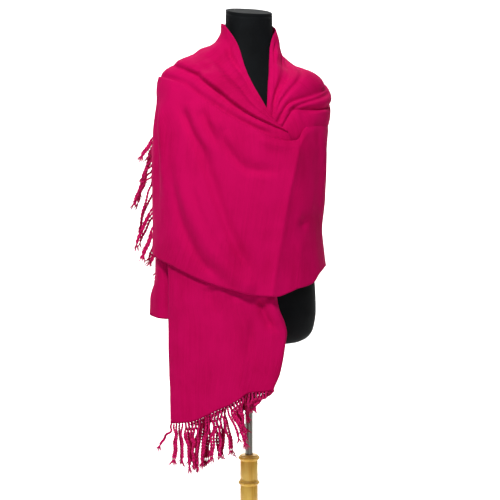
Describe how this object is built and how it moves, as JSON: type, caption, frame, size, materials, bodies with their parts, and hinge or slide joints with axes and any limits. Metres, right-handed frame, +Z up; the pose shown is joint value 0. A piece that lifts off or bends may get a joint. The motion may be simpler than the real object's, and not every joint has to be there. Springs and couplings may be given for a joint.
{
  "type": "pashmina shawl on a dress form with stand",
  "caption": "Fringed rectangular shawl wound round the shoulders of a limbless dress form on a turned wooden post and round base.",
  "frame": {"origin": "on the floor, under the post's axis, at the middle of the base's underside", "axes": "+Z up along the post; the shawl is seen from the front looking along +Y; +X to the right, where the form turns a little towards"},
  "size_m": [0.4488, 0.3422, 1.4991],
  "materials": {
    "shawl_cloth": "soft fine twill wool with a slight sheen",
    "fringe_yarn": "twisted yarn",
    "form_jersey": "smooth matt jersey",
    "pole_steel": "satin",
    "stand_wood": "satin varnish"
  },
  "bodies": {
    "root": {"shawl_cape_back": "shawl_cloth", "shawl_wrap_front": "shawl_cloth", "shawl_collar": "shawl_cloth", "shawl_shoulder_gather": "shawl_cloth", "shawl_hanging_end": "shawl_cloth", "fringe_hanging_end": "fringe_yarn", "fringe_wrap_end": "fringe_yarn", "form_torso": "form_jersey", "form_neck_cap": "form_jersey", "stand_pole": "pole_steel", "stand_post": "stand_wood", "stand_base": "stand_wood"}
  },
  "joints": []
}
